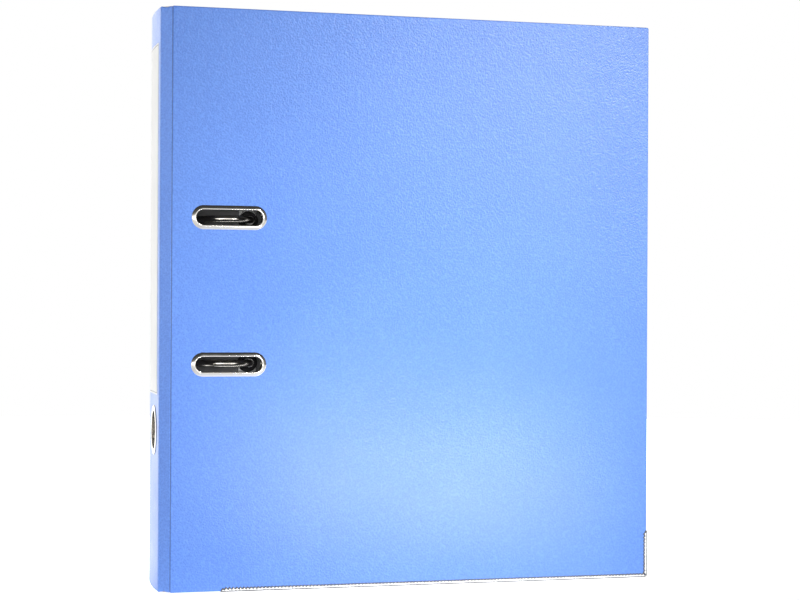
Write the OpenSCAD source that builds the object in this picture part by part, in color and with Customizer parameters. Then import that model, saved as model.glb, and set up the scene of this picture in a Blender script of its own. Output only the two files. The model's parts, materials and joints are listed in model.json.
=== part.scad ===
// A4 lever arch file with a narrow spine, standing on its bottom edges and closed.
// +Z is up, +X runs from the spine to the fore edges and +Y from the front cover to the back cover.
// The origin is the middle of the footprint on the ground. The back cover is square to the frame.
// Every panel is drawn in its own frame: x across the panel from its crease, y inwards from its
// outer face, z up. The mechanism's frame has x from the rear crease, y out of the back cover's
// lining and z from the middle between the two posts.

/* [Case] */
// Height of the file, with its metal edges
file_h = 318; // [316:1:322]
// Width of each cover, from its crease to its fore edge
cover_w = 279; // [270:1:290]
// Width of the flat of the spine
spine_w = 50; // [50:1:60]
// Width of each hinge strip, between its two creases
strip_w = 8; // [7.5:0.5:9]
// Angle that the front cover closes past square with the spine
front_close = 4.75; // [2:0.25:5]
// Angle that the back cover closes past square with the spine
back_close = 2.75; // [2:0.25:4]
// Thickness of the grey board
board_t = 2.2; // [1.8:0.1:2.4]
// Thickness of the outer covering and of the lining
wrap_t = 0.3; // [0.2:0.05:0.4]
// Width of the covering that is turned in over the edges
turn_in = 12; // [10:1:18]

/* [Case fittings] */
// Distance from the front crease to the middle of the slots
slot_s = 31.9; // [31:0.1:33]
// Length of each slot's clear hole
slot_l = 37; // [36:0.5:40]
// Height of each slot's clear hole
slot_h = 8.3; // [8:0.1:9]
// Width of the metal rim round each slot
slot_rim = 2.4; // [1.5:0.1:3]
// Height of the finger ring's middle above the ground
finger_z = 87; // [80:1:95]
// Outer diameter of the finger ring
finger_od = 27.5; // [26:0.5:30]
// Diameter of the finger hole
finger_id = 21; // [19:0.5:22]
// Height of the spine label
label_h = 192; // [180:1:195]
// Width of the spine label
label_w = 39; // [34:1:39]
// Distance from the top of the spine to the label
label_top = 19; // [12:1:22]
// Length of the metal edge up the fore edge
edge_rise = 27; // [20:1:32]
// Thickness of the metal edges
edge_t = 0.4; // [0.3:0.1:0.5]

/* [Mechanism] */
// Distance between the two posts
post_pitch = 80; // [80:1:80]
// Height of the middle between the posts above the ground
mech_z = 163.8; // [159:0.1:164]
// Distance of the posts from the rear crease
post_x = 49; // [49:0.5:50]
// Distance of the arch wire's axis from the rear crease
axis_x = 20; // [20:0.5:21]
// Height of the arch wire's axis above the lining
axis_h = 8; // [8:0.1:8.3]
// Diameter of the arch wire
wire_d = 4; // [3.6:0.1:4]
// Height of the arch's top above the lining
arch_top = 38; // [37:0.5:39]
// Diameter of each post
post_d = 5; // [4.8:0.1:5]
// Height of each post above the lining
post_h = 20; // [19:0.5:20]
// Width of the lever
lever_w = 16; // [14:0.5:16]

/* [Hidden] */
$fn = 64;
past = 1;
half_gap = 0.15;
panel_t = board_t + 2 * wrap_t;
lip_t = 0.2;
face_t = panel_t + lip_t;
lining_margin = 4;
mitre = 26;
run_fit = 0.05;

// Folds, as each panel's heading about Z. Two creases share each fold equally.
rear_fold = (90 + back_close) / 2;
front_fold = (90 + front_close) / 2;
rear_strip_dir = 180 + rear_fold;
spine_dir = 180 + 2 * rear_fold;
front_strip_dir = spine_dir + front_fold;
front_dir = spine_dir + 2 * front_fold;

function heading(a) = [cos(a), sin(a)];
function inward(a) = [-sin(a), cos(a)];

// Fore edge and finger ring, the ends of the whole along X, counted from the rear crease
finger_h = 0.9;
rear_corner_0 = strip_w * heading(rear_strip_dir);
front_corner_0 = rear_corner_0 + spine_w * heading(spine_dir);
front_crease_0 = front_corner_0 + strip_w * heading(front_strip_dir);
far_x = front_crease_0.x + (cover_w + edge_t) * heading(front_dir).x + edge_t * sin(front_dir);
near_x = rear_corner_0.x + (spine_w - finger_od) / 2 * heading(spine_dir).x - finger_h * inward(spine_dir).x;
rivet_head_t = 0.8;
middle = [(far_x + near_x) / 2, (rivet_head_t + front_crease_0.y) / 2];

rear_crease = -middle;
rear_corner = rear_corner_0 - middle;
front_corner = front_corner_0 - middle;
front_crease = front_crease_0 - middle;

// Case fittings
rim_t = 1.0;
clinch_t = 0.6;
eyelet_wall = 0.5;
label_t = 0.15;
edge_lip = 2.4;
edge_start = 28;

// Pressed base plate, with its lugs and ears
pan_t = 0.9;
pan_h = 3.5;
pan_x0 = 13;
pan_x1 = 61;
pan_half = 75;
pan_corner = 5;
rivet_x = [19, 55];
rivet_z = 62;
rivet_r = 2;
rivet_head_r = 4.5;
cup_r = 6;
sheet_t = 1.2;
lug_z = 26;
lug_r = 4.5;
ear_z = lever_w / 2 + 0.3;
ear_r = 4;

// Arch wire
wire_r = wire_d / 2;
arch_r = (post_x - axis_x) / 2;
arch_mid_h = arch_top - wire_r - arch_r;
crank_r = 10;
crank_z = 10;
crank_bend = 3.5;
foot_bend = 4;
tip_r = 0.8;
tip_l = 1;
post_gap = 0.3;
roller_r = 3.5;
roller_l = 12;

// Lever
lever_t = 1;
pivot_x = 43;
pivot_h = 10;
pin_r = 1.5;
web_h = axis_h + roller_r + 0.3;
rim_drop = 1.2;
bend_x = 22;
grip_x = 12.5;
grip_h = 16.5;
grip_r = 3;

// Posts and compressor
post_r = post_d / 2;
collar_r = 4;
collar_t = 0.8;
bore_r = 1.6;
bar_t = 1.2;
bar_h = 5.2;
bar_half_w = 5;
bar_end_z = 56;
bow_x0 = 53;
bow_x1 = 62;
bow_z = 18;
bow_end_z = 27;
bush_r = 3.4;
bush_flange_r = 5.5;
bush_flange_t = 2;

board_color = [0.72, 0.68, 0.60];
cover_color = [0.33, 0.54, 0.90];
lining_color = [0.88, 0.90, 0.94];
label_color = [0.97, 0.97, 0.95];
steel_color = [0.80, 0.81, 0.83];
plastic_color = [0.12, 0.12, 0.13];

// ---- Frames ----

module back_frame()
    translate(concat(rear_crease, 0)) mirror([0, 1, 0]) children();

module rear_strip_frame()
    translate(concat(rear_crease, 0)) rotate([0, 0, rear_strip_dir]) children();

module spine_frame()
    translate(concat(rear_corner, 0)) rotate([0, 0, spine_dir]) children();

module front_strip_frame()
    translate(concat(front_corner, 0)) rotate([0, 0, front_strip_dir]) children();

module front_frame()
    translate(concat(front_crease, 0)) rotate([0, 0, front_dir]) children();

module mechanism_frame()
    translate([rear_crease.x, rear_crease.y - face_t, mech_z]) rotate([180, 0, 0]) children();

// ---- Shapes ----

// A flat layer of a panel, x0 to x1 across and y0 to y1 deep. A mitred end leans back with depth.
module layer(x0, x1, y0, y1, z0, z1, mitred0 = false, mitred1 = false) {
    lean0 = mitred0 ? tan(mitre) : 0;
    lean1 = mitred1 ? tan(mitre) : 0;
    translate([0, 0, z0])
        linear_extrude(z1 - z0)
            polygon([
                [x0 + y0 * lean0, y0],
                [x1 - y0 * lean1, y0],
                [x1 - y1 * lean1, y1],
                [x0 + y1 * lean0, y1]
            ]);
}

// A flat outline drawn in x and z, given its thickness from y0 to y1
module plate(y0, y1)
    translate([0, y0, 0]) rotate([-90, 0, 0]) linear_extrude(y1 - y0) children();

module stadium(length, height) {
    square([length - height, height], center = true);
    for (side = [-1, 1])
        translate([side * (length - height) / 2, 0]) circle(d = height);
}

module rounded_rect(x0, x1, half_z, corner) {
    translate([x0, corner - half_z]) square([x1 - x0, 2 * (half_z - corner)]);
    translate([x0 + corner, -half_z]) square([x1 - x0 - 2 * corner, 2 * half_z]);
    for (x = [x0 + corner, x1 - corner], z = [corner - half_z, half_z - corner])
        translate([x, z]) circle(corner);
}

// A rod along z, from z0 to z1 at (x, y)
module rod(x, y, z0, z1, r)
    translate([x, y, z0]) cylinder(r = r, h = z1 - z0);

// A rod along y, from y0 to y1 at (x, z)
module peg(x, z, y0, y1, r)
    translate([x, y0, z]) rotate([-90, 0, 0]) cylinder(r = r, h = y1 - y0);

// ---- Panels ----

// Grey board. A cover ends at its fore edge, and any other panel at a second crease.
module board(width, cover) {
    end = cover ? width - wrap_t : width - half_gap;
    layer(half_gap, end, wrap_t, wrap_t + board_t, edge_t + wrap_t, file_h - wrap_t, true, !cover);
}

// Covering: the outer face, the wrapped edges and the turned-in margins
module wrap(width, cover) {
    end = cover ? width : width - half_gap;
    board_end = cover ? width - wrap_t : width + past;
    window_end = cover ? width - turn_in : width + past;
    inside = wrap_t + board_t;
    difference() {
        layer(half_gap, end, 0, panel_t, edge_t, file_h, true, !cover);
        layer(-past, board_end, wrap_t, inside, edge_t + wrap_t, file_h - wrap_t);
        layer(-past, window_end, wrap_t, panel_t + past, edge_t + turn_in, file_h - turn_in);
    }
}

// Lining: it fills the window in the turned-in margins and laps over them
module lining(width, cover) {
    window_end = cover ? width - turn_in : width - half_gap;
    lap_end = cover ? width - lining_margin : width - half_gap;
    z_low = edge_t + turn_in;
    z_high = file_h - turn_in;
    layer(half_gap, window_end, wrap_t + board_t, panel_t, z_low, z_high, true, !cover);
    layer(half_gap, lap_end, panel_t, face_t, edge_t + lining_margin, file_h - lining_margin, true, !cover);
}

// ---- Holes through the panels ----

module slot_holes(grow)
    for (side = [-1, 1])
        translate([slot_s, 0, mech_z + side * post_pitch / 2])
            plate(-past, face_t + past)
                stadium(slot_l + 2 * grow, slot_h + 2 * grow);

module finger_hole(r)
    peg(spine_w / 2, finger_z, -past, face_t + past, r);

module rivet_holes()
    for (x = rivet_x, side = [-1, 1])
        peg(x, mech_z + side * rivet_z, -past, face_t + past, rivet_r);

// ---- Back cover ----

module back_cover_board()
    color(board_color) back_frame()
        difference() {
            board(cover_w, true);
            rivet_holes();
        }

module back_cover_wrap()
    color(cover_color) back_frame()
        difference() {
            wrap(cover_w, true);
            rivet_holes();
        }

module back_cover_lining()
    color(lining_color) back_frame()
        difference() {
            lining(cover_w, true);
            rivet_holes();
        }

// Pressed metal channel round the bottom edge and the lower fore edge of a cover
module edge_protector()
    color(steel_color)
        difference() {
            union() {
                layer(edge_start, cover_w + edge_t, -edge_t, panel_t + edge_t, 0, edge_t + edge_lip);
                layer(cover_w - edge_lip, cover_w + edge_t, -edge_t, panel_t + edge_t, 0, edge_t + edge_rise);
            }
            layer(edge_start - past, cover_w, 0, panel_t, edge_t, edge_rise + past);
        }

module back_edge_protector()
    back_frame() edge_protector();

// ---- Rear hinge strip ----

module rear_strip_board()
    color(board_color) rear_strip_frame() board(strip_w, false);

module rear_strip_wrap()
    color(cover_color) rear_strip_frame() wrap(strip_w, false);

module rear_strip_lining()
    color(lining_color) rear_strip_frame() lining(strip_w, false);

// ---- Spine ----

module spine_board()
    color(board_color) spine_frame()
        difference() {
            board(spine_w, false);
            finger_hole(finger_id / 2 + eyelet_wall);
        }

module spine_wrap()
    color(cover_color) spine_frame()
        difference() {
            wrap(spine_w, false);
            finger_hole(finger_id / 2 + eyelet_wall);
        }

module spine_lining()
    color(lining_color) spine_frame()
        difference() {
            lining(spine_w, false);
            finger_hole(finger_id / 2 + eyelet_wall);
        }

module spine_label()
    color(label_color) spine_frame()
        translate([(spine_w - label_w) / 2, -label_t, file_h - label_top - label_h])
            cube([label_w, label_t, label_h]);

// Ring round the finger hole: an outer rim and a barrel through the spine
module finger_ring()
    color(steel_color) spine_frame()
        difference() {
            union() {
                peg(spine_w / 2, finger_z, -finger_h, 0, finger_od / 2);
                peg(spine_w / 2, finger_z, -finger_h, face_t + clinch_t, finger_id / 2 + eyelet_wall);
            }
            peg(spine_w / 2, finger_z, -finger_h - past, face_t + past, finger_id / 2);
        }

// Flat collar that the barrel is clinched over, on the inside of the spine
module finger_ring_collar()
    color(steel_color) spine_frame()
        difference() {
            peg(spine_w / 2, finger_z, face_t, face_t + clinch_t, finger_od / 2);
            finger_hole(finger_id / 2 + eyelet_wall);
        }

// ---- Front hinge strip ----

module front_strip_board()
    color(board_color) front_strip_frame() board(strip_w, false);

module front_strip_wrap()
    color(cover_color) front_strip_frame() wrap(strip_w, false);

module front_strip_lining()
    color(lining_color) front_strip_frame() lining(strip_w, false);

// ---- Front cover ----

module front_cover_board()
    color(board_color) front_frame()
        difference() {
            board(cover_w, true);
            slot_holes(eyelet_wall);
        }

module front_cover_wrap()
    color(cover_color) front_frame()
        difference() {
            wrap(cover_w, true);
            slot_holes(eyelet_wall);
        }

module front_cover_lining()
    color(lining_color) front_frame()
        difference() {
            lining(cover_w, true);
            slot_holes(eyelet_wall);
        }

module front_edge_protector()
    front_frame() edge_protector();

// Slot eyelet: a raised rim outside, a barrel through the cover and a clinched rim inside
module slot_eyelet(side)
    color(steel_color) front_frame()
        translate([slot_s, 0, mech_z + side * post_pitch / 2])
            difference() {
                union() {
                    plate(-rim_t, 0) stadium(slot_l + 2 * slot_rim, slot_h + 2 * slot_rim);
                    plate(0, face_t) stadium(slot_l + 2 * eyelet_wall, slot_h + 2 * eyelet_wall);
                    plate(face_t, face_t + clinch_t) stadium(slot_l + 2 * slot_rim, slot_h + 2 * slot_rim);
                }
                plate(-rim_t - past, face_t + past) stadium(slot_l, slot_h);
            }

module upper_slot_eyelet()
    slot_eyelet(1);

module lower_slot_eyelet()
    slot_eyelet(-1);

// ---- Base plate ----

// Upright lug for a wire or pin along z: its foot on the plate, its round top about (x, h)
module lug(x, h, r, z0)
    translate([0, 0, z0])
        linear_extrude(sheet_t) {
            translate([x - r, pan_h - pan_t]) square([2 * r, h - pan_h + pan_t]);
            translate([x, h]) circle(r);
        }

module base_plate()
    color(steel_color) mechanism_frame()
        difference() {
            union() {
                difference() {
                    plate(0, pan_h) rounded_rect(pan_x0, pan_x1, pan_half, pan_corner);
                    plate(-past, pan_h - pan_t)
                        rounded_rect(pan_x0 + pan_t, pan_x1 - pan_t, pan_half - pan_t, pan_corner - pan_t);
                }
                for (x = rivet_x, side = [-1, 1])
                    peg(x, side * rivet_z, 0, pan_h, cup_r);
                for (z0 = [lug_z, -lug_z - sheet_t])
                    lug(axis_x, axis_h, lug_r, z0);
                for (z0 = [ear_z, -ear_z - sheet_t])
                    lug(pivot_x, pivot_h, ear_r, z0);
            }
            for (x = rivet_x, side = [-1, 1]) {
                peg(x, side * rivet_z, pan_t, pan_h + past, cup_r - pan_t);
                peg(x, side * rivet_z, -past, pan_h, rivet_r);
            }
            rod(axis_x, axis_h, -lug_z - past - sheet_t, lug_z + past + sheet_t, wire_r + run_fit);
            rod(pivot_x, pivot_h, -ear_z - past - sheet_t, ear_z + past + sheet_t, pin_r);
            for (side = [-1, 1])
                peg(post_x, side * post_pitch / 2, 0, pan_h + past, post_r);
        }

// Four rivets: a domed-off head outside the back cover, a shank and a clinched head in the plate
module mounting_rivets()
    color(steel_color) mechanism_frame()
        for (x = rivet_x, side = [-1, 1]) {
            peg(x, side * rivet_z, -face_t - rivet_head_t, -face_t, rivet_head_r);
            peg(x, side * rivet_z, -face_t, pan_t, rivet_r);
            peg(x, side * rivet_z, pan_t, pan_t + rivet_head_t, rivet_head_r - 1);
        }

// ---- Posts ----

// Hollow post riveted in the plate, with a mouth for the arch wire's tip
module post(side)
    color(steel_color) mechanism_frame()
        difference() {
            union() {
                peg(post_x, side * post_pitch / 2, pan_h - pan_t - collar_t, post_h, post_r);
                peg(post_x, side * post_pitch / 2, pan_h, pan_h + collar_t, collar_r);
                peg(post_x, side * post_pitch / 2, pan_h - pan_t - collar_t, pan_h - pan_t, collar_r - 1);
            }
            peg(post_x, side * post_pitch / 2, post_h - 8, post_h + past, bore_r);
        }

module upper_post()
    post(-1);

module lower_post()
    post(1);

// ---- Arch wire ----

module bend(r, angle)
    rotate_extrude(angle = angle) translate([r, 0]) circle(wire_r);

// One half of the wire: half the crank, its arm, the shaft, the foot, the arch and its tip
module arch_half() {
    crank_x = axis_x + crank_r;
    arch_z = post_pitch / 2;
    rod(crank_x, axis_h, 0, crank_z - crank_bend, wire_r);
    translate([crank_x - crank_bend, axis_h, crank_z - crank_bend])
        rotate([90, 0, 0]) bend(crank_bend, 90);
    translate([axis_x + crank_bend, axis_h, crank_z])
        rotate([0, 90, 0]) cylinder(r = wire_r, h = crank_r - 2 * crank_bend);
    translate([axis_x + crank_bend, axis_h, crank_z + crank_bend])
        rotate([90, 0, 0]) rotate([0, 0, 180]) bend(crank_bend, 90);
    rod(axis_x, axis_h, crank_z + crank_bend, arch_z - foot_bend, wire_r);
    translate([axis_x, axis_h + foot_bend, arch_z - foot_bend])
        rotate([0, -90, 0]) rotate([0, 0, -90]) bend(foot_bend, 90);
    peg(axis_x, arch_z, axis_h + foot_bend, arch_mid_h, wire_r);
    translate([axis_x + arch_r, arch_mid_h, arch_z]) bend(arch_r, 180);
    peg(post_x, arch_z, post_h + post_gap, arch_mid_h, wire_r);
    peg(post_x, arch_z, post_h + post_gap - tip_l, post_h + post_gap, tip_r);
}

module arch_wire()
    color(steel_color) mechanism_frame() {
        arch_half();
        mirror([0, 0, 1]) arch_half();
    }

module arch_roller()
    color(plastic_color) mechanism_frame()
        difference() {
            rod(axis_x + crank_r, axis_h, -roller_l / 2, roller_l / 2, roller_r);
            rod(axis_x + crank_r, axis_h, -roller_l, roller_l, wire_r + run_fit);
        }

// ---- Lever ----

// Side view of the lever's top sheet, from over the pivot to the rolled grip
module lever_web() {
    top_h = web_h + lever_t;
    polygon([
        [bend_x, web_h],
        [pivot_x + 2, web_h],
        [pivot_x + 2, top_h],
        [bend_x, top_h],
        [grip_x, grip_h - grip_r + lever_t],
        [grip_x, grip_h - grip_r]
    ]);
}

// Side view of one cheek: an ear round the pivot and a shallow rim under the sheet
module lever_cheek() {
    polygon([
        [bend_x, web_h - rim_drop],
        [pivot_x - ear_r - 1, web_h - rim_drop],
        [pivot_x - ear_r + 0.5, pivot_h - 2],
        [pivot_x, pivot_h - 2],
        [pivot_x + 2, web_h],
        [pivot_x + 2, web_h + lever_t],
        [bend_x, web_h + lever_t],
        [grip_x + 2, grip_h - grip_r + 0.5]
    ]);
    translate([pivot_x, pivot_h]) circle(ear_r - 0.3);
}

module lever()
    color(steel_color) mechanism_frame()
        difference() {
            union() {
                translate([0, 0, -lever_w / 2]) linear_extrude(lever_w) lever_web();
                for (z0 = [-lever_w / 2, lever_w / 2 - lever_t])
                    translate([0, 0, z0]) linear_extrude(lever_t) lever_cheek();
                rod(grip_x, grip_h, -lever_w / 2, lever_w / 2, grip_r);
            }
            rod(grip_x, grip_h, -lever_w, lever_w, grip_r - lever_t);
            rod(pivot_x, pivot_h, -lever_w, lever_w, pin_r + run_fit);
        }

// Pin riveted over both ears
module lever_pin()
    color(steel_color) mechanism_frame() {
        reach = ear_z + sheet_t;
        rod(pivot_x, pivot_h, -reach, reach, pin_r);
        for (z0 = [-reach - 0.8, reach])
            rod(pivot_x, pivot_h, z0, z0 + 0.8, pin_r + 1);
    }

// ---- Compressor ----

// The bar seen from above: a strip over both posts that bows out round the lever
module bar_outline() {
    x0 = post_x - bar_half_w;
    x1 = post_x + bar_half_w;
    polygon([
        [x0, -bar_end_z], [x0, -bow_end_z], [bow_x0, -bow_z], [bow_x0, bow_z], [x0, bow_end_z], [x0, bar_end_z],
        [x1, bar_end_z], [x1, bow_end_z], [bow_x1, bow_z], [bow_x1, -bow_z], [x1, -bow_end_z], [x1, -bar_end_z]
    ]);
}

module compressor_bar()
    color(steel_color) mechanism_frame()
        difference() {
            union() {
                plate(bar_h, bar_h + bar_t) bar_outline();
                for (side = [-1, 1])
                    peg(post_x, side * bar_end_z, bar_h, bar_h + bar_t, bar_half_w);
            }
            for (side = [-1, 1])
                peg(post_x, side * post_pitch / 2, 0, bar_h + bar_t + past, bush_r);
        }

// Two plastic bushes that grip the posts and hold the bar where it is put
module compressor_bushes()
    color(plastic_color) mechanism_frame()
        for (side = [-1, 1])
            difference() {
                union() {
                    peg(post_x, side * post_pitch / 2, bar_h - 0.4, bar_h + bar_t, bush_r);
                    peg(post_x, side * post_pitch / 2, bar_h + bar_t, bar_h + bar_t + bush_flange_t, bush_flange_r);
                }
                peg(post_x, side * post_pitch / 2, 0, post_h, post_r + run_fit);
            }

back_cover_board();
back_cover_wrap();
back_cover_lining();
back_edge_protector();
rear_strip_board();
rear_strip_wrap();
rear_strip_lining();
spine_board();
spine_wrap();
spine_lining();
spine_label();
finger_ring();
finger_ring_collar();
front_strip_board();
front_strip_wrap();
front_strip_lining();
front_cover_board();
front_cover_wrap();
front_cover_lining();
front_edge_protector();
upper_slot_eyelet();
lower_slot_eyelet();
base_plate();
mounting_rivets();
upper_post();
lower_post();
arch_wire();
arch_roller();
lever();
lever_pin();
compressor_bar();
compressor_bushes();
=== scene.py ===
"""Looks of a narrow A4 lever arch file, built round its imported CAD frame.

Meshes are made in millimetres in the frame of a panel or of the mechanism, then placed in metres.
A panel's frame has x across it from its crease, y inwards from its outer face and z up.
"""

import json
import math

import bmesh
import bpy
from mathutils import Matrix, Vector


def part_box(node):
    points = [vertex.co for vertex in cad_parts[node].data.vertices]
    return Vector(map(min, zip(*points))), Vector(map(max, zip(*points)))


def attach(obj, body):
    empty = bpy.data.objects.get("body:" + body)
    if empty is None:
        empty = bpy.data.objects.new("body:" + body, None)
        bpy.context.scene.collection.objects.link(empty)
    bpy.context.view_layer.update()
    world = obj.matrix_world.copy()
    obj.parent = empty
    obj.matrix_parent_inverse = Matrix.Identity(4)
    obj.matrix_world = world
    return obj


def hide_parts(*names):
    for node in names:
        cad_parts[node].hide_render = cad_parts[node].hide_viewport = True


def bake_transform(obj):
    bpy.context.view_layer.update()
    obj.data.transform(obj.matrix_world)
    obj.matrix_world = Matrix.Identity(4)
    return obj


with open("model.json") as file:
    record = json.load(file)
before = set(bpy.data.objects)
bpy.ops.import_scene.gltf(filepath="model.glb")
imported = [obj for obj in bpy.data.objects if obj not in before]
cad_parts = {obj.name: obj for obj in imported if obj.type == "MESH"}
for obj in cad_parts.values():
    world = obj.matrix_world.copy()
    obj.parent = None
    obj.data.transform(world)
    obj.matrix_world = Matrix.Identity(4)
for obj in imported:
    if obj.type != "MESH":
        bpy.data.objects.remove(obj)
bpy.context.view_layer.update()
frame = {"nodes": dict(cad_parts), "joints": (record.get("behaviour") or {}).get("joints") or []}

MM = 0.001
SCENE = bpy.context.scene

# ---- Sizes in millimetres, as in the CAD ----

FACE_T = 3.0          # panel thickness with its lining
SKIN_T = 2.8          # board with its covering on both sides
HALF_GAP = 0.15       # half the gap between two panels at their outer faces
LEAN = math.tan(math.radians(26))
STRIP_W = 8.0
SPINE_W = 50.0
COVER_W = 279.0
SLOT_S = 31.9
SLOT_L = 37.0
SLOT_H = 8.3
SLOT_RIM = 2.4
RIM_T = 1.0
CLINCH_T = 0.6
EYELET_WALL = 0.5
FINGER_Z = 87.0
FINGER_OD = 27.5
FINGER_ID = 21.0
FINGER_PROUD = 0.9
LABEL_W = 39.0
LABEL_T = 0.15
EDGE_T = 0.4
EDGE_LIP = 2.4
EDGE_START = 28.0
EDGE_RISE = 27.0
POST_X = 49.0
AXIS_X = 20.0
AXIS_H = 8.0
ARCH_Z = 40.0
ARCH_TOP = 38.0
WIRE_R = 2.0
POST_H = 20.0
RIVET_X = (19.0, 55.0)
RIVET_Z = 62.0
RIVET_HEAD_R = 4.5
RIVET_HEAD_T = 0.8

# ---- Shaping that the CAD doesn't have, with its lengths in millimetres ----

SKIN_R = 0.65         # rounding of a covered edge
CORNER_R = 1.2        # rounding of a cover's corners
SPINE_BULGE = 1.1     # how far the middle of the spine stands proud, where the CAD's spine is flat
FINGER_FLAT = 0.65    # share of the ring's height in the CAD that its rolled rim stands proud
TOOTH_PITCH = 2.0
TOOTH_DEPTH = 1.0
PAINTED_SHADE_ON_RING = (1, 7)          # which faces round the ring's profile are painted dark, as painted shade
PAINTED_SHADE_ON_EDGE = (0, 2, 3, 8)    # which faces round a metal edge's section are painted dark, as painted shade

# ---- Frames ----


def turned(direction, angle):
    """A 2D direction turned anticlockwise."""
    return Matrix.Rotation(angle, 2) @ direction


def panel_matrix(origin, along, inward):
    return Matrix((
        (along.x, inward.x, 0, origin.x),
        (along.y, inward.y, 0, origin.y),
        (0, 0, 1, 0),
        (0, 0, 0, 1),
    ))


axis_at = {j["name"]: Vector(j["pos_m"][:2]) / MM for j in frame["joints"] if "pos_m" in j}
rear_crease = axis_at["rear_crease"]
rear_corner = axis_at["rear_spine_crease"]
front_corner = axis_at["front_spine_crease"]
front_crease = axis_at["front_crease"]

back_dir = Vector((1, 0))
rear_strip_dir = (rear_corner - rear_crease).normalized()
spine_dir = (front_corner - rear_corner).normalized()
front_strip_dir = (front_crease - front_corner).normalized()
front_fold = math.atan2(spine_dir.cross(front_strip_dir), spine_dir.dot(front_strip_dir))
front_dir = turned(front_strip_dir, front_fold)


def ahead(origin, direction):
    """Frame of a panel whose inner side lies to the left of its direction."""
    return panel_matrix(origin, direction, turned(direction, math.pi / 2))


BACK = panel_matrix(rear_crease, back_dir, Vector((0, -1)))
REAR_STRIP = ahead(rear_crease, rear_strip_dir)
SPINE = ahead(rear_corner, spine_dir)
FRONT_STRIP = ahead(front_corner, front_strip_dir)
FRONT = ahead(front_crease, front_dir)

slot_boxes = [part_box(side + "_slot_eyelet") for side in ("upper", "lower")]
slot_z = [(low.z + high.z) / 2 / MM for low, high in slot_boxes]
mech_z = sum(slot_z) / 2
bottom_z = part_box("spine_wrap")[0].z / MM
top_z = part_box("spine_wrap")[1].z / MM
label_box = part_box("spine_label")
label_z = (label_box[0].z / MM, label_box[1].z / MM)

# Mechanism: x from the rear crease, y out of the back cover's lining, z down from between the posts
MECHANISM = Matrix((
    (1, 0, 0, rear_crease.x),
    (0, -1, 0, rear_crease.y - FACE_T),
    (0, 0, -1, mech_z),
    (0, 0, 0, 1),
))

# ---- Material helpers ----


class Nodes:
    """A node material under construction. Textures use the object's own coordinates, in metres."""

    def __init__(self, name):
        self.material = bpy.data.materials.new(name)
        self.material.use_nodes = True
        self.tree = self.material.node_tree
        self.shader = self.tree.nodes["Principled BSDF"]
        self.coords = self.tree.nodes.new("ShaderNodeTexCoord").outputs["Object"]

    def add(self, kind, inputs=(), **settings):
        node = self.tree.nodes.new(kind)
        for key, value in settings.items():
            setattr(node, key, value)
        for key, value in dict(inputs).items():
            if isinstance(value, bpy.types.NodeSocket):
                self.tree.links.new(value, node.inputs[key])
            else:
                node.inputs[key].default_value = value
        return node

    def set(self, **values):
        """Sets a shader input by its name, with _ for a space."""
        for key, value in values.items():
            socket = self.shader.inputs[key.replace("_", " ")]
            if isinstance(value, bpy.types.NodeSocket):
                self.tree.links.new(value, socket)
            else:
                socket.default_value = value

    def stretched(self, scale):
        mapping = self.add("ShaderNodeMapping", {"Vector": self.coords, "Scale": scale})
        return mapping.outputs["Vector"]

    def noise(self, scale, detail=3.0, roughness=0.55, coords=None):
        node = self.add("ShaderNodeTexNoise", {
            "Vector": coords or self.coords, "Scale": scale, "Detail": detail, "Roughness": roughness,
        })
        return node.outputs["Fac"]

    def ranged(self, value, low, high, start=0.3, stop=0.7):
        node = self.add("ShaderNodeMapRange", {
            "Value": value, "From Min": start, "From Max": stop, "To Min": low, "To Max": high,
        })
        return node.outputs["Result"]

    def mixed(self, factor, first, second):
        node = self.add("ShaderNodeMix", data_type="RGBA")
        for socket, value in zip((node.inputs[0], node.inputs[6], node.inputs[7]), (factor, first, second)):
            if isinstance(value, bpy.types.NodeSocket):
                self.tree.links.new(value, socket)
            else:
                socket.default_value = value
        return node.outputs[2]

    def summed(self, first, second, weight):
        node = self.add("ShaderNodeMath", {0: second, 1: weight, 2: first}, operation="MULTIPLY_ADD")
        return node.outputs["Value"]

    def bump(self, height, strength, distance):
        node = self.add("ShaderNodeBump", {"Height": height, "Strength": strength, "Distance": distance})
        self.set(Normal=node.outputs["Normal"])


def color(r, g, b):
    return (r, g, b, 1.0)


def foil_material(name, painted_shade_factor=1.0):
    """Blue embossed covering: fine leather grain, a millimetre and less across, under a soft gloss."""
    m = Nodes(name)
    cells = m.add("ShaderNodeTexVoronoi", {"Vector": m.coords, "Scale": 1050.0}, feature="SMOOTH_F1")
    fine = m.noise(1900.0, detail=2.0)
    swell = m.noise(240.0, detail=2.0)
    grain = m.summed(cells.outputs["Distance"], fine, 0.6)
    m.bump(m.summed(grain, swell, 0.8), 0.8, 0.00013)
    blues = ((0.076, 0.214, 0.68), (0.086, 0.232, 0.72))
    # a factor below one darkens both blues, as painted shade in a crease
    deep, pale = (color(*(painted_shade_factor * c for c in rgb)) for rgb in blues)
    tone = m.mixed(m.ranged(m.noise(14.0), 0.0, 1.0), deep, pale)
    raised = m.mixed(m.ranged(grain, 0.0, 1.0, 0.35, 1.0), color(0.78, 0.82, 0.90), color(1.20, 1.16, 1.06))
    shaded = m.add("ShaderNodeMix", data_type="RGBA", blend_type="MULTIPLY")
    shaded.inputs[0].default_value = 1.0
    m.tree.links.new(tone, shaded.inputs[6])
    m.tree.links.new(raised, shaded.inputs[7])
    m.set(Base_Color=shaded.outputs[2])
    m.set(Roughness=m.ranged(m.noise(60.0), 0.29, 0.35), Specular_IOR_Level=0.75)
    return m.material


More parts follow.
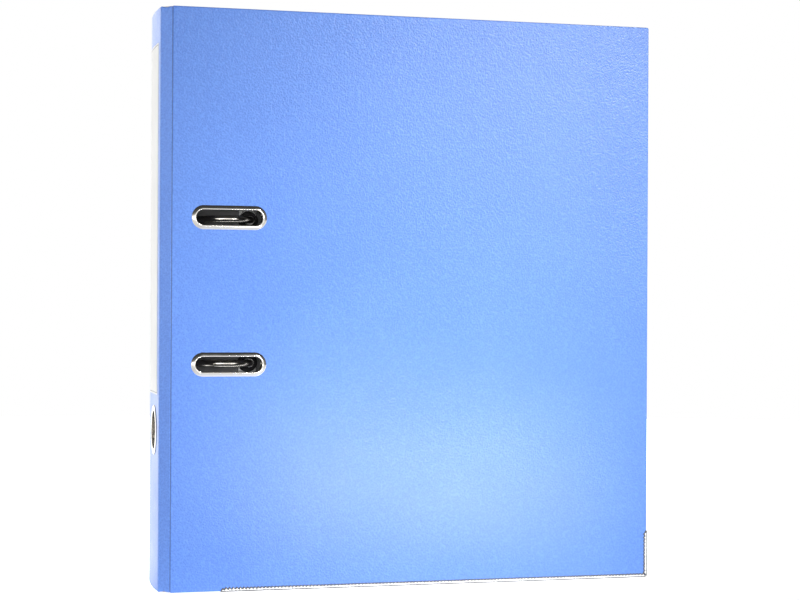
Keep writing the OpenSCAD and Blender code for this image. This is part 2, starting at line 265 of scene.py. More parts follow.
def paper_material(name, light, dark, fibre=0.35):
    """Uncoated paper: cloudy tone with short fibres."""
    m = Nodes(name)
    cloud = m.noise(35.0, detail=5.0)
    fibres = m.noise(900.0, detail=4.0, coords=m.stretched((1.0, 1.0, 0.25)))
    m.set(Base_Color=m.mixed(m.ranged(m.summed(cloud, fibres, fibre), 0.0, 1.0, 0.4, 1.0), light, dark))
    m.bump(fibres, 0.25, 0.00006)
    m.set(Roughness=m.ranged(cloud, 0.72, 0.84), Specular_IOR_Level=0.3)
    return m.material


def board_material():
    """Grey board: flecked recycled fibre."""
    m = Nodes("greyboard")
    fleck = m.add("ShaderNodeTexVoronoi", {"Vector": m.coords, "Scale": 1400.0})
    cloud = m.ranged(m.noise(220.0, detail=5.0), 0.0, 1.0)
    tone = m.mixed(cloud, color(0.32, 0.28, 0.22), color(0.45, 0.40, 0.33))
    dark = m.ranged(fleck.outputs["Distance"], 0.5, 0.0, start=0.0, stop=0.25)
    m.set(Base_Color=m.mixed(dark, tone, color(0.16, 0.14, 0.12)))
    m.bump(m.noise(700.0, detail=4.0), 0.5, 0.0001)
    m.set(Roughness=0.9, Specular_IOR_Level=0.2)
    return m.material


def metal_material(name, tint, low, high, scratch=0.08):
    """Plated steel: fine drawn scratches and soft smudges in its polish."""
    m = Nodes(name)
    drawn = m.noise(2600.0, detail=2.0, coords=m.stretched((1.0, 1.0, 0.06)))
    smudge = m.noise(90.0, detail=4.0)
    m.set(Base_Color=m.mixed(m.ranged(smudge, 0.0, 1.0), tint, color(*(0.93 * c for c in tint[:3]))))
    m.set(Metallic=1.0, Roughness=m.ranged(m.summed(smudge, drawn, 0.4), low, high, 0.45, 0.95))
    m.bump(drawn, scratch, 0.00003)
    return m.material


def plastic_material():
    """Black moulded plastic with a fine spark-eroded grain."""
    m = Nodes("black_plastic")
    grain = m.noise(2200.0, detail=2.0)
    cloud = m.ranged(m.noise(150.0), 0.0, 1.0)
    m.set(Base_Color=m.mixed(cloud, color(0.012, 0.012, 0.013), color(0.02, 0.02, 0.022)))
    m.set(Roughness=m.ranged(grain, 0.36, 0.5), Specular_IOR_Level=0.5)
    m.bump(grain, 0.2, 0.00004)
    return m.material


def edge_shade_line_material():
    """Thin grey line painted just inside the label's edge, as painted shade along the edge."""
    m = Nodes("label_edge_shade")
    cloud = m.ranged(m.noise(1800.0), 0.0, 1.0)
    m.set(Base_Color=m.mixed(cloud, color(0.30, 0.31, 0.33), color(0.42, 0.43, 0.45)))
    m.set(Roughness=0.7)
    return m.material


foil = foil_material("cover_foil")
# the same foil at half tone, as painted shade in the pressed creases
painted_shade_crease_foil = foil_material("painted_shade_crease_foil", painted_shade_factor=0.5)
# the lining is nearly black, as painted shade for the dark inside of the closed file
lining = paper_material("lining_paper", color(0.11, 0.11, 0.12), color(0.07, 0.07, 0.08))
label_paper = paper_material("label_paper", color(0.82, 0.82, 0.80), color(0.76, 0.76, 0.74), fibre=0.2)
label_edge_shade = edge_shade_line_material()
greyboard = board_material()
nickel = metal_material("nickel", color(0.80, 0.775, 0.72), 0.10, 0.20)
steel = metal_material("plated_steel", color(0.77, 0.77, 0.76), 0.20, 0.34, scratch=0.12)
# near-black steel: painted shade on the ring's edges and on the metal edge's teeth and bends
painted_shade_steel = metal_material("painted_shade_steel", color(0.10, 0.097, 0.09), 0.40, 0.55, scratch=0.15)
zinc = metal_material("zinc_plate", color(0.27, 0.27, 0.275), 0.38, 0.52, scratch=0.15)
wire = metal_material("plated_wire", color(0.94, 0.91, 0.84), 0.20, 0.28)
plastic = plastic_material()

# ---- Mesh helpers ----


def finish_piece(name, bm, matrix, material, sharp=38.0):
    """Places a mesh in the row frame, shades it smooth between its sharp edges and links it."""
    bm.transform(Matrix.Scale(MM, 4) @ matrix)
    bmesh.ops.recalc_face_normals(bm, faces=bm.faces)
    limit = math.radians(sharp)
    for face in bm.faces:
        face.smooth = True
    for edge in bm.edges:
        if len(edge.link_faces) == 2 and edge.calc_face_angle(0) > limit:
            edge.smooth = False
    mesh = bpy.data.meshes.new(name)
    bm.to_mesh(mesh)
    bm.free()
    obj = bpy.data.objects.new(name, mesh)
    SCENE.collection.objects.link(obj)
    mesh.materials.append(material)
    weighted = obj.modifiers.new("even_shading", "WEIGHTED_NORMAL")
    weighted.keep_sharp = True
    return obj


def rider(name, bm, matrix, material, body, stands_for=(), sharp=38.0):
    """A finished piece that rides on a body and stands for CAD nodes."""
    obj = finish_piece(name, bm, matrix, material, sharp)
    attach(obj, body)
    if stands_for:
        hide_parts(*stands_for)
    return obj


def arc(cx, cy, r, start, stop, steps):
    """Points on an arc, from start to stop degrees, both ends included."""
    angles = [math.radians(start + (stop - start) * i / steps) for i in range(steps + 1)]
    return [(cx + r * math.cos(a), cy + r * math.sin(a)) for a in angles]


def circle(cx, cy, r, steps=96):
    return arc(cx, cy, r, 0, 360, steps)[:-1]


def stadium(cx, cy, length, height, steps=24):
    """A slot's outline, anticlockwise."""
    r = height / 2
    half = length / 2 - r
    return arc(cx + half, cy, r, -90, 90, steps) + arc(cx - half, cy, r, 90, 270, steps)


def rectangle(x0, x1, z0, z1, r0=0.0, r1=0.0, steps=6):
    """A rectangle with corner radius r0 at its x0 end and r1 at its x1 end, anticlockwise."""
    corners = [(x0, z0, r0, 180), (x1, z0, r1, 270), (x1, z1, r1, 0), (x0, z1, r0, 90)]
    points = []
    for x, z, r, start in corners:
        if r == 0:
            points.append((x, z))
        else:
            cx = x + r if x == x0 else x - r
            cz = z + r if z == z0 else z - r
            points += arc(cx, cz, r, start, start + 90, steps)
    return points


def plate(outline, holes, y0, y1, radius, steps=3):
    """A flat plate drawn in x and z, from y0 to y1 deep, with all its edges rounded."""
    curve = bpy.data.curves.new("plate", "CURVE")
    curve.dimensions = "2D"
    curve.fill_mode = "BOTH"
    curve.extrude = (y1 - y0) / 2 - radius
    curve.bevel_depth = radius
    curve.bevel_resolution = steps
    curve.offset = -radius
    for loop in [outline, *holes]:
        spline = curve.splines.new("POLY")
        spline.points.add(len(loop) - 1)
        spline.use_cyclic_u = True
        for point, (x, z) in zip(spline.points, loop):
            point.co = (x, z, 0, 1)
    holder = bpy.data.objects.new("plate", curve)
    mesh = bpy.data.meshes.new_from_object(holder)
    bm = bmesh.new()
    bm.from_mesh(mesh)
    bpy.data.meshes.remove(mesh)
    bpy.data.objects.remove(holder)
    bpy.data.curves.remove(curve)
    bmesh.ops.remove_doubles(bm, verts=bm.verts, dist=0.0005)
    middle = (y0 + y1) / 2
    for vert in bm.verts:
        x, z, y = vert.co
        vert.co = (x, middle + y, z)
    return bm


def mitre_start(bm, x_limit=1.5):
    """Leans the end at x = 0 back with depth."""
    for vert in bm.verts:
        if vert.co.x < x_limit:
            vert.co.x += vert.co.y * LEAN


def mitre_end(bm, x_end, x_limit=1.5):
    """Leans the end at x_end back with depth."""
    for vert in bm.verts:
        if vert.co.x > x_end - x_limit:
            vert.co.x -= vert.co.y * LEAN


def cut_across(bm, axis, places):
    """Adds edges where a plane crosses the mesh, so that it can be bent there."""
    normal = Vector((0, 0, 0))
    normal[axis] = 1
    for place in places:
        everything = bm.verts[:] + bm.edges[:] + bm.faces[:]
        bmesh.ops.bisect_plane(bm, geom=everything, plane_co=normal * place, plane_no=normal, dist=1e-5)


def ring_sweep(stations, closed=True):
    """Joins rings of points, each a closed cross-section, into one skin. An open sweep gets end caps."""
    bm = bmesh.new()
    rings = [[bm.verts.new(point) for point in ring] for ring in stations]
    count = len(rings[0])
    pairs = list(zip(rings, rings[1:] + rings[:1])) if closed else list(zip(rings, rings[1:]))
    for first, second in pairs:
        for i in range(count):
            j = (i + 1) % count
            bm.faces.new((first[i], first[j], second[j], second[i]))
    if not closed:
        bm.faces.new(rings[0])
        bm.faces.new(list(reversed(rings[-1])))
    return bm


def smooth_step(value, low, high):
    t = min(1.0, max(0.0, (value - low) / (high - low)))
    return t * t * (3 - 2 * t)


# ---- Covering ----


def cover_skin(name, matrix, body, replaced, holes):
    bm = plate(rectangle(HALF_GAP, COVER_W, bottom_z, top_z, 0.0, CORNER_R), holes, 0.0, SKIN_T, SKIN_R)
    mitre_start(bm)
    return rider(name, bm, matrix, foil, body, [replaced])


def pinch(x, z):
    """Depth of the small tuck in a strip's covering near each end, where it is turned in."""
    reach = 4.0
    end = min(z - bottom_z, top_z - z)
    if end >= reach:
        return 0.0
    narrowing = 1 - end / reach
    return 0.3 * narrowing * (1 - smooth_step(abs(x - STRIP_W / 2), 0.2, 0.3 + 2.2 * narrowing))


def strip_skin(name, matrix, body, replaced):
    end = STRIP_W - HALF_GAP
    bm = plate(rectangle(HALF_GAP, end, bottom_z + 0.3, top_z - 0.3), [], 0.0, SKIN_T, SKIN_R)
    cut_across(bm, 0, [1.2 + 0.5 * i for i in range(12)])
    for z_end, sign in ((bottom_z, 1), (top_z, -1)):
        cut_across(bm, 2, [z_end + sign * (1.1 + 0.5 * i) for i in range(9)])
    for vert in bm.verts:
        if vert.co.y < SKIN_R:
            vert.co.y += pinch(vert.co.x, vert.co.z)
    mitre_start(bm, x_limit=1.0)
    mitre_end(bm, end, x_limit=1.0)
    return rider(name, bm, matrix, foil, body, [replaced])


def spine_bulge(x, z):
    """How far the spine stands proud at a point. The finger ring clinches it flat."""
    across = 1 - (2 * x / SPINE_W - 1) ** 2
    from_ring = math.hypot(x - SPINE_W / 2, z - FINGER_Z)
    return SPINE_BULGE * across * smooth_step(from_ring, FINGER_OD / 2, FINGER_OD * 1.4)


def bulged(bm, deepest):
    for vert in bm.verts:
        if vert.co.y < deepest:
            vert.co.y -= spine_bulge(vert.co.x, vert.co.z)


def spine_skin():
    end = SPINE_W - HALF_GAP
    hole = circle(SPINE_W / 2, FINGER_Z, FINGER_ID / 2 + EYELET_WALL)
    bm = plate(rectangle(HALF_GAP, end, bottom_z, top_z), [hole], 0.0, SKIN_T, SKIN_R)
    cut_across(bm, 0, [2.0 + 46.0 * i / 16 for i in range(17)])
    cut_across(bm, 2, [FINGER_Z - 40 + 4 * i for i in range(21)])
    bulged(bm, SKIN_R)
    mitre_start(bm)
    mitre_end(bm, end)
    return rider("spine_skin", bm, SPINE, foil, "spine", ["spine_wrap"])


def label():
    """The spine label: a paper strip with a thin grey frame painted just inside its edge as painted shade,
    bent to the spine's bulge.
    """
    x0 = (SPINE_W - LABEL_W) / 2
    x1 = x0 + LABEL_W
    z0, z1 = label_z
    bm = plate(rectangle(x0, x1, z0, z1, 1.0, 1.0), [], -LABEL_T, 0.0, 0.05, steps=1)
    inset, line = 0.9, 0.45
    for place in (inset, inset + line):
        cut_across(bm, 0, [x0 + place, x1 - place])
        cut_across(bm, 2, [z0 + place, z1 - place])
    cut_across(bm, 0, [x0 + 2.5 + (LABEL_W - 5) * i / 12 for i in range(13)])
    cut_across(bm, 2, [z0 + 3 + 5 * i for i in range(6)])
    # faces of the frame just inside the edge get the grey line, as painted shade
    for face in bm.faces:
        centre = face.calc_center_median()
        edge = min(centre.x - x0, x1 - centre.x, centre.z - z0, z1 - centre.z)
        face.material_index = 1 if inset < edge < inset + line else 0
    bulged(bm, 1.0)
    obj = rider("spine_label_strip", bm, SPINE, label_paper, "spine", ["spine_label"])
    obj.data.materials.append(label_edge_shade)
    return obj


# ---- Creases ----


def along_z(section, z0, z1):
    """A sheet: a closed outline in the row frame's x and y, drawn out along z."""
    return ring_sweep([[(x, y, z) for x, y in section] for z in (z0, z1)], closed=False)


def crease_points(origin, back, ahead_dir, inside_back, inside_ahead, points):
    """Section points given as (distance, depth), mirrored over the two panels that meet at a crease."""
    first = [origin + back * s + inside_back * d for s, d in points]
    second = [origin + ahead_dir * s + inside_ahead * d for s, d in points]
    return first + second[::-1]


def crease_sheet(name, origin, first_dir, second_dir, depth, z_ends, material):
    """Covering that bridges a crease outside, from one panel's edge to the next."""
    back = -first_dir
    in_back = turned(first_dir, math.pi / 2)
    in_ahead = turned(second_dir, math.pi / 2)
    outer = crease_points(origin, back, second_dir, in_back, in_ahead,
                          [(1.3, depth + 0.25), (0.75, depth + 0.02), (0.5, depth), (0.25, depth + 0.03)])
    inner = crease_points(origin, back, second_dir, in_back, in_ahead,
                          [(1.3, depth + 0.45), (0.6, depth + 0.3), (0.3, depth + 0.3)])
    section = [tuple(p) for p in outer] + [tuple(p) for p in reversed(inner)]
    bm = along_z(section, *z_ends)
    obj = finish_piece(name, bm, Matrix.Identity(4), material, sharp=60.0)
    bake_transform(obj)
    return obj


def groove_lining(name, origin, first_dir, second_dir, z_ends):
    """Lining that dips into a crease's groove inside, down one mitred edge and up the next."""
    back = -first_dir
    in_back = turned(first_dir, math.pi / 2)
    in_ahead = turned(second_dir, math.pi / 2)
    sheet = 0.07

    def edge(y):
        return HALF_GAP + y * LEAN

    hidden = [(edge(FACE_T) + 1.6, FACE_T), (edge(FACE_T) + 0.02, FACE_T), (edge(0.4) + 0.02, 0.4)]
    shown = [(edge(FACE_T) + 1.6, FACE_T + sheet), (edge(FACE_T) - 0.02, FACE_T + sheet),
             (edge(FACE_T) - sheet, FACE_T - 0.05), (edge(0.5) - sheet, 0.5)]
    outer = crease_points(origin, back, second_dir, in_back, in_ahead, hidden)
    inner = crease_points(origin, back, second_dir, in_back, in_ahead, shown)
    section = [tuple(p) for p in outer] + [tuple(p) for p in reversed(inner)]
    bm = along_z(section, *z_ends)
    obj = finish_piece(name, bm, Matrix.Identity(4), lining, sharp=50.0)
    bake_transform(obj)
    return obj


# A cover's crease is pressed deep and its covering there is painted darker, as painted shade, and the
# spine's two corners are hardly pressed in
PRESSED = (0.22, painted_shade_crease_foil)
SHALLOW = (0.05, foil)
CREASES = [
    ("rear_crease", rear_crease, -back_dir, rear_strip_dir, ("back_cover", "rear_strip"), *PRESSED),
    ("rear_corner", rear_corner, rear_strip_dir, spine_dir, ("rear_strip", "spine"), *SHALLOW),
    ("front_corner", front_corner, spine_dir, front_strip_dir, ("spine", "front_strip"), *SHALLOW),
    ("front_crease", front_crease, front_strip_dir, front_dir, ("front_strip", "front_cover"), *PRESSED),
]

# ---- Metal fittings of the case ----


def path_normals(path):
    """Outward unit normals of a closed anticlockwise outline."""
    normals = []
    for i, point in enumerate(path):
        before = Vector(path[i - 1])
        after = Vector(path[(i + 1) % len(path)])
        tangent = (after - before).normalized()
        normals.append(Vector((tangent.y, -tangent.x)))
    return normals


def rim_sweep(path, profile):
    """Sweeps a profile of (offset outwards, depth) points round a closed outline in x and z."""
    stations = []
    for (x, z), normal in zip(path, path_normals(path)):
        stations.append([(x + normal.x * u, y, z + normal.y * u) for u, y in profile])
    return ring_sweep(stations)


def rolled_rim(width, proud, lip, clinch_width):
    """Section of an eyelet: rolled lip, sloping outer rim, barrel and clinched inner rim."""
    deep = FACE_T + CLINCH_T
    roll = [(0.0, deep - 0.15), (0.0, -0.5 * proud), (0.15 * lip, -0.8 * proud), (0.5 * lip, -0.96 * proud)]
    slope = [(lip + (width - lip) * t, -proud * (0.92 * (1 - t ** 1.6) + 0.08)) for t in
             [i / 10 for i in range(11)]]
    under = [(width - 0.04, 0.0), (EYELET_WALL, 0.0), (EYELET_WALL, FACE_T)]
    inner = [
        (clinch_width - 0.15, FACE_T), (clinch_width, FACE_T + 0.3 * CLINCH_T),
        (clinch_width - 0.25, FACE_T + 0.8 * CLINCH_T), (0.6 * clinch_width, deep), (0.4, deep),
    ]
    return roll + slope + under + inner


def slot_eyelet(side, z):
    profile = rolled_rim(SLOT_RIM, RIM_T, 0.4, SLOT_RIM)
    bm = rim_sweep(stadium(SLOT_S, z, SLOT_L, SLOT_H), profile)
    return rider(side + "_slot_rim", bm, FRONT, nickel, "front_cover", [side + "_slot_eyelet"])


def finger_ring():
    """Rolled ring round the finger hole, whose barrel goes through the spine."""
    width = (FINGER_OD - FINGER_ID) / 2
    deep = FACE_T + CLINCH_T
    proud = FINGER_FLAT * FINGER_PROUD
    profile = [(0.0, deep), (0.0, -0.4 * proud), (0.1, -0.7 * proud), (0.35, -0.93 * proud), (0.7, -proud)]
    profile += [(width - 0.9, -0.97 * proud), (width - 0.4, -0.82 * proud), (width - 0.12, -0.5 * proud)]
    profile += [(width, 0.0), (EYELET_WALL, 0.0), (EYELET_WALL, deep)]
    bm = rim_sweep(circle(SPINE_W / 2, FINGER_Z, FINGER_ID / 2), profile)
    # the inner roll and the outer edge get the dark steel, as painted shade
    for k, face in enumerate(bm.faces):
        face.material_index = 1 if k % len(profile) in PAINTED_SHADE_ON_RING else 0
    obj = rider("finger_ring_rim", bm, SPINE, nickel, "spine", ["finger_ring"])
    obj.data.materials.append(painted_shade_steel)
    return obj


def finger_collar():
    """The inner washer that the ring's barrel is clinched over, with a rounded edge."""
    width = (FINGER_OD - FINGER_ID) / 2
    deep = FACE_T + CLINCH_T
    profile = [(EYELET_WALL, FACE_T), (width - 0.1, FACE_T), (width, FACE_T + 0.15)]
    profile += [(width - 0.12, deep - 0.12), (width - 0.4, deep)]
    profile += [(EYELET_WALL + 0.4, deep), (EYELET_WALL, deep - 0.05)]
    bm = rim_sweep(circle(SPINE_W / 2, FINGER_Z, FINGER_ID / 2), profile)
    return rider("finger_ring_washer", bm, SPINE, nickel, "spine", ["finger_ring_collar"])


def edge_stations():
    """Path of a metal edge in x and z: along the bottom, round the corner and up the fore edge.

    Each station has its point, its inward normal, its travel, its distance from the corner and its
    distance from the nearer end.
    """
    corner_s = COVER_W - CORNER_R - EDGE_START
    turn = CORNER_R * math.pi / 2
    rise = EDGE_RISE - CORNER_R - bottom_z
    total = corner_s + turn + rise
    step = TOOTH_PITCH / 4
    stations = []
    count = int(round(total / step))
    for i in range(count + 1):
        s = total * i / count
        if s < corner_s:
            point, inward = Vector((EDGE_START + s, bottom_z)), Vector((0, 1))
        elif s < corner_s + turn:
            a = (s - corner_s) / CORNER_R
            inward = Vector((-math.sin(a), math.cos(a)))
            point = Vector((COVER_W - CORNER_R, bottom_z + CORNER_R)) - inward * CORNER_R
        else:
            point = Vector((COVER_W, bottom_z + CORNER_R + s - corner_s - turn))
            inward = Vector((-1, 0))
        stations.append((point, inward, s, abs(s - corner_s - turn / 2), min(s, total - s)))
    return stations


def edge_protector(name, matrix, body, replaced):
    """Pressed steel channel, notched at the corner. Its toothed lip and outer bend are painted darker, as
    painted shade.
    """
    rings = []
    for point, inward, s, from_corner, from_end in edge_stations():
        tooth = TOOTH_DEPTH * abs((s / TOOTH_PITCH) % 1.0 - 0.5) * 2
        notch = smooth_step(from_corner, 0.3, 1.8)
        tail = 0.35 + 0.65 * smooth_step(from_end, -0.6, 2.2)
        lip = (EDGE_LIP - tooth) * notch * tail + 0.9 * (1 - notch)
        bend = 0.3
        crest = max(bend + 0.05, lip - 0.85)
        section = [
            (lip, -0.06), (crest, -EDGE_T), (bend, -EDGE_T),
            (0.0, -EDGE_T * 0.9), (-EDGE_T * 0.7, -EDGE_T * 0.45),
            (-EDGE_T, 0.2), (-EDGE_T, SKIN_T - 0.2), (-EDGE_T * 0.7, SKIN_T + EDGE_T * 0.45),
            (0.0, SKIN_T + EDGE_T * 0.9), (bend, SKIN_T + EDGE_T), (crest, SKIN_T + EDGE_T),
            (lip, SKIN_T + 0.08), (lip, SKIN_T + 0.02), (0.0, SKIN_T),
            (-0.02, SKIN_T - 0.4), (-0.02, 0.4), (0.0, 0.0), (lip, 0.0),
        ]
        rings.append([(point.x + inward.x * u, y, point.y + inward.y * u) for u, y in section])
    bm = ring_sweep(rings, closed=False)
    # the toothed lip and the bends get the dark steel, as painted shade
    for k, face in enumerate(bm.faces[:-2]):
        face.material_index = 1 if k % len(section) in PAINTED_SHADE_ON_EDGE else 0
    obj = rider(name, bm, matrix, steel, body, [replaced], sharp=50.0)
    obj.data.materials.append(painted_shade_steel)
    return obj


# ---- Mechanism ----


def arch_path():
    """Centreline of the arch wire in the mechanism's frame, from one tip to the other."""
    arch_r = (POST_X - AXIS_X) / 2
    arch_mid = ARCH_TOP - WIRE_R - arch_r
    crank_r, crank_z, bend, foot = 10.0, 10.0, 3.5, 4.0
    half = [Vector((POST_X, POST_H + 0.3, ARCH_Z))]
    half += [Vector((x, h, ARCH_Z)) for x, h in arc(AXIS_X + arch_r, arch_mid, arch_r, 0, 180, 40)]
    quarter = [math.radians(9 * i) for i in range(11)]
    half += [Vector((AXIS_X, AXIS_H + foot - foot * math.sin(a), ARCH_Z - foot + foot * math.cos(a)))
             for a in quarter]
    half += [Vector((AXIS_X + bend - bend * math.cos(a), AXIS_H, crank_z + bend - bend * math.sin(a)))
             for a in quarter]
    half += [Vector((AXIS_X + crank_r - bend + bend * math.sin(a), AXIS_H,
                     crank_z - bend + bend * math.cos(a)))
             for a in quarter]
    other = [Vector((p.x, p.y, -p.z)) for p in reversed(half)]
    return half + other


def tube(path, radius, steps=20):
    """Rings of a round wire along a path, carried along it without twist."""
    rings = []
    side = Vector((0, 1, 0)) if abs((path[1] - path[0]).normalized().y) < 0.9 else Vector((0, 0, 1))
    for i, point in enumerate(path):
        tangent = (path[min(i + 1, len(path) - 1)] - path[max(i - 1, 0)]).normalized()
        side = (side - tangent * side.dot(tangent)).normalized()
        other = tangent.cross(side)
        angles = [2 * math.pi * k / steps for k in range(steps)]
        rings.append([point + (side * math.cos(a) + other * math.sin(a)) * radius for a in angles])
    return rings


def arch_wire():
    path = arch_path()
    start_dir = (path[1] - path[0]).normalized()
    taper = [(-1.0, 0.55), (-0.85, 0.8), (0.0, 0.8), (0.08, 1.7), (0.5, WIRE_R)]
    lead = [path[0] + start_dir * along for along, _ in taper]
    tail_end = (path[-2] - path[-1]).normalized()
    tail = [path[-1] + tail_end * along for along, _ in reversed(taper)]
    whole = lead + path[1:-1] + tail
    radii = [r for _, r in taper] + [WIRE_R] * (len(path) - 2) + [r for _, r in reversed(taper)]
    rings = []
    for centre, ring, radius in zip(whole, tube(whole, 1.0), radii):
        rings.append([centre + (p - centre) * radius for p in ring])
    bm = ring_sweep(rings, closed=False)
    return rider("arch_wire_bent", bm, MECHANISM, wire, "arch", ["arch_wire"])


def rivet_heads():
    """Domed heads of the mounting rivets, outside and inside, on their shanks."""
    bm = bmesh.new()
    low = -FACE_T - RIVET_HEAD_T
    section = [(0.0, low)]
    section += [(RIVET_HEAD_R * math.sin(a), -FACE_T - RIVET_HEAD_T * (0.15 + 0.85 * math.cos(a)))
                for a in [math.radians(d) for d in range(15, 91, 15)]]
    section += [(RIVET_HEAD_R - 0.1, -FACE_T), (2.0, -FACE_T), (2.0, 0.9), (3.4, 0.9), (3.5, 1.1)]
    section += [(3.5 * math.cos(a), 1.1 + 0.6 * math.sin(a)) for a in [math.radians(d) for d in (30, 60)]]
    section += [(0.0, 1.7)]
    steps = 40
    for x in RIVET_X:
        for z in (-RIVET_Z, RIVET_Z):
            rings = []
            for k in range(steps):
                a = 2 * math.pi * k / steps
                ring = [(x + r * math.cos(a), h, z + r * math.sin(a)) for r, h in section]
                rings.append([bm.verts.new(point) for point in ring])
            for first, second in zip(rings, rings[1:] + rings[:1]):
                for i in range(len(section) - 1):
                    bm.faces.new((first[i], first[i + 1], second[i + 1], second[i]))
    bmesh.ops.remove_doubles(bm, verts=bm.verts, dist=0.0005)
    return rider("rivets_domed", bm, MECHANISM, steel, "back_cover", ["mounting_rivets"])


def dress(node, material, edge=0.0, segments=3):
    """Gives a CAD node its finish, and softens its hard edges where edge is set."""
    obj = frame["nodes"][node]
    obj.data.materials.clear()
    obj.data.materials.append(material)
    if edge:
        weld = obj.modifiers.new("weld", "WELD")
        weld.merge_threshold = 1e-6
        flat = obj.modifiers.new("flat", "DECIMATE")
        flat.decimate_type = "DISSOLVE"
        flat.angle_limit = math.radians(1.0)
        bevel = obj.modifiers.new("bevel", "BEVEL")
        bevel.width = edge * MM
        bevel.segments = segments
        bevel.limit_method = "ANGLE"
        bevel.angle_limit = math.radians(35)
        bevel.harden_normals = False
        weighted = obj.modifiers.new("even_shading", "WEIGHTED_NORMAL")
        weighted.keep_sharp = True


# ---- The object ----

slot_holes = [stadium(SLOT_S, z, SLOT_L + 2 * EYELET_WALL, SLOT_H + 2 * EYELET_WALL) for z in slot_z]
rivet_holes = [circle(x, mech_z + z, 2.0, 32) for x in RIVET_X for z in (-RIVET_Z, RIVET_Z)]
cover_skin("front_cover_skin", FRONT, "front_cover", "front_cover_wrap", slot_holes)
cover_skin("back_cover_skin", BACK, "back_cover", "back_cover_wrap", rivet_holes)
strip_skin("front_strip_skin", FRONT_STRIP, "front_strip", "front_strip_wrap")
strip_skin("rear_strip_skin", REAR_STRIP, "rear_strip", "rear_strip_wrap")
spine_skin()
label()
for crease_name, origin, first_dir, second_dir, bodies, depth, material in CREASES:
    fold_ends = (bottom_z + 0.4, top_z - 0.4)
    crease_sheet(crease_name + "_fold", origin, first_dir, second_dir, depth, fold_ends, material)
    groove_lining(crease_name + "_groove", origin, first_dir, second_dir, (bottom_z + 4, top_z - 4))
for side, z in zip(("upper", "lower"), slot_z):
    slot_eyelet(side, z)
finger_ring()
finger_collar()
edge_protector("front_edge_channel", FRONT, "front_cover", "front_edge_protector")
edge_protector("back_edge_channel", BACK, "back_cover", "back_edge_protector")
arch_wire()
rivet_heads()

for panel in ("back_cover", "rear_strip", "spine", "front_strip", "front_cover"):
    dress(panel + "_board", greyboard)
    dress(panel + "_lining", lining)
dress("base_plate", zinc, edge=0.25)
dress("lever", nickel, edge=0.25)
dress("lever_pin", steel, edge=0.25)
dress("upper_post", steel, edge=0.3)
dress("lower_post", steel, edge=0.3)
dress("compressor_bar", steel, edge=0.3)
dress("compressor_bushes", plastic, edge=0.3)
dress("arch_roller", plastic, edge=0.3)

# ---- Stage ----


def floor():
    """A round white table top, lit through so that it fades into the white room."""
    bm = bmesh.new()
    bmesh.ops.create_circle(bm, cap_ends=True, segments=96, radius=1.8)
    mesh = bpy.data.meshes.new("floor")
    bm.to_mesh(mesh)
    bm.free()
    obj = bpy.data.objects.new("floor", mesh)
    SCENE.collection.objects.link(obj)
    m = Nodes("floor")
    across = m.add("ShaderNodeSeparateXYZ", {"Vector": m.coords})
    glow = m.ranged(across.outputs["Y"], 0.5, 1.6, start=-0.12, stop=0.1)
    m.set(Base_Color=color(0.92, 0.92, 0.92), Roughness=0.9, Specular_IOR_Level=0.0)
    m.set(Emission_Color=color(1.0, 1.0, 1.0), Emission_Strength=glow)
    mesh.materials.append(m.material)


def aim(name, light, location, target):
    obj = bpy.data.objects.new(name, light)
    SCENE.collection.objects.link(obj)
    obj.location = location
    obj.rotation_mode = "QUATERNION"
    obj.rotation_quaternion = (Vector(target) - Vector(location)).to_track_quat("-Z", "Y")


def area_light(name, location, target, size, power, spread=180.0):
    light = bpy.data.lights.new(name, "AREA")
    light.spread = math.radians(spread)
    light.shape = "RECTANGLE"
    light.size, light.size_y = size
    light.energy = power
    aim(name, light, location, target)


def spot_light(name, location, target, cone, radius, power):
    light = bpy.data.lights.new(name, "SPOT")
    light.spot_size = math.radians(cone)
    light.spot_blend = 1.0
    light.shadow_soft_size = radius
    light.energy = power
    aim(name, light, location, target)


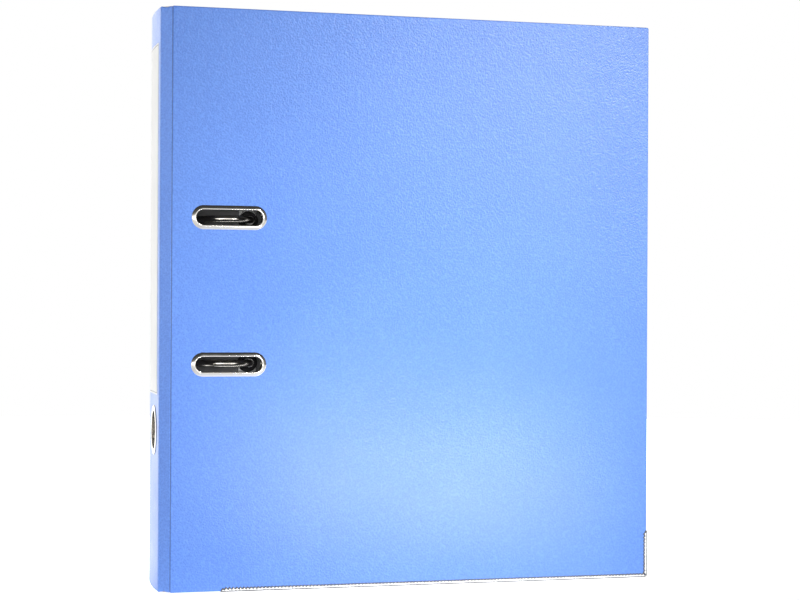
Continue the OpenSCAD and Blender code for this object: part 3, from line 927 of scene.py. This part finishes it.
def studio():
    """A room that is brightest low behind the object, with a bright band low in front of it.

    The camera sees plain white in its place.
    """
    world = bpy.data.worlds.new("studio")
    SCENE.world = world
    world.use_nodes = True
    tree = world.node_tree

    def ranged(value, start, stop, low, high):
        node = tree.nodes.new("ShaderNodeMapRange")
        node.interpolation_type = "SMOOTHSTEP"
        tree.links.new(value, node.inputs["Value"])
        for key, number in zip(("From Min", "From Max", "To Min", "To Max"), (start, stop, low, high)):
            node.inputs[key].default_value = number
        return node.outputs["Result"]

    def joined(operation, first, second):
        node = tree.nodes.new("ShaderNodeMath")
        node.operation = operation
        tree.links.new(first, node.inputs[0])
        tree.links.new(second, node.inputs[1])
        return node.outputs["Value"]

    coords = tree.nodes.new("ShaderNodeTexCoord")
    split = tree.nodes.new("ShaderNodeSeparateXYZ")
    tree.links.new(coords.outputs["Generated"], split.inputs["Vector"])
    rear = ranged(split.outputs["Y"], 0.1, 0.85, 0.2, 1.8)
    front = ranged(split.outputs["Y"], -0.8, -0.3, 1.2, 0.0)
    low = ranged(split.outputs["Z"], 0.06, 0.3, 1.0, 0.0)
    high = ranged(split.outputs["Z"], 0.1, 0.7, 1.0, 0.25)
    room = tree.nodes["Background"]
    glow = joined("ADD", joined("MULTIPLY", rear, high), joined("MULTIPLY", front, low))
    tree.links.new(glow, room.inputs["Color"])
    white = tree.nodes.new("ShaderNodeBackground")
    white.inputs["Color"].default_value = (1, 1, 1, 1)
    path = tree.nodes.new("ShaderNodeLightPath")
    mix = tree.nodes.new("ShaderNodeMixShader")
    tree.links.new(path.outputs["Is Camera Ray"], mix.inputs[0])
    tree.links.new(room.outputs["Background"], mix.inputs[1])
    tree.links.new(white.outputs["Background"], mix.inputs[2])
    tree.links.new(mix.outputs["Shader"], tree.nodes["World Output"].inputs["Surface"])


def camera():
    """The camera at the photograph's viewing angle."""
    yaw, pitch, roll = (math.radians(a) for a in (9.415, 0.175, 0.289))
    forward = Vector((math.sin(yaw) * math.cos(pitch), math.cos(yaw) * math.cos(pitch), math.sin(pitch)))
    level = Vector((math.cos(yaw), -math.sin(yaw), 0))
    upright = level.cross(forward)
    right = level * math.cos(roll) + upright * math.sin(roll)
    up = upright * math.cos(roll) - level * math.sin(roll)
    data = bpy.data.cameras.new("camera")
    data.sensor_width = 36.0
    data.lens = 94.73
    data.clip_start, data.clip_end = 0.05, 100.0
    obj = bpy.data.objects.new("camera", data)
    SCENE.collection.objects.link(obj)
    rotation = Matrix((right, up, -forward)).transposed()
    place = Vector((front_crease.x - 64.1, front_crease.y - 1142.04, 155.88))
    obj.matrix_world = Matrix.Translation(place * MM) @ rotation.to_4x4()
    SCENE.camera = obj


floor()
studio()
area_light("key", (0.95, -1.36, 0.50), (0.08, 0.0, 0.25), (0.42, 0.36), 3.3)
area_light("low", (0.13, -0.29, 0.014), (0.0, 0.0, 0.12), (0.22, 0.02), 0.065, spread=60.0)
area_light("left", (-1.5, -0.35, 0.4), (-0.14, -0.03, 0.16), (0.8, 1.0), 4.0)
area_light("window", (-0.73, -1.36, 0.19), (-0.1, 0.0, 0.16), (1.2, 0.12), 3.0)
spot_light("front", (0.85, -1.25, 0.95), (0.03, 0.0, 0.14), 18.0, 0.10, 84.0)
camera()
SCENE.view_settings.view_transform = "Standard"
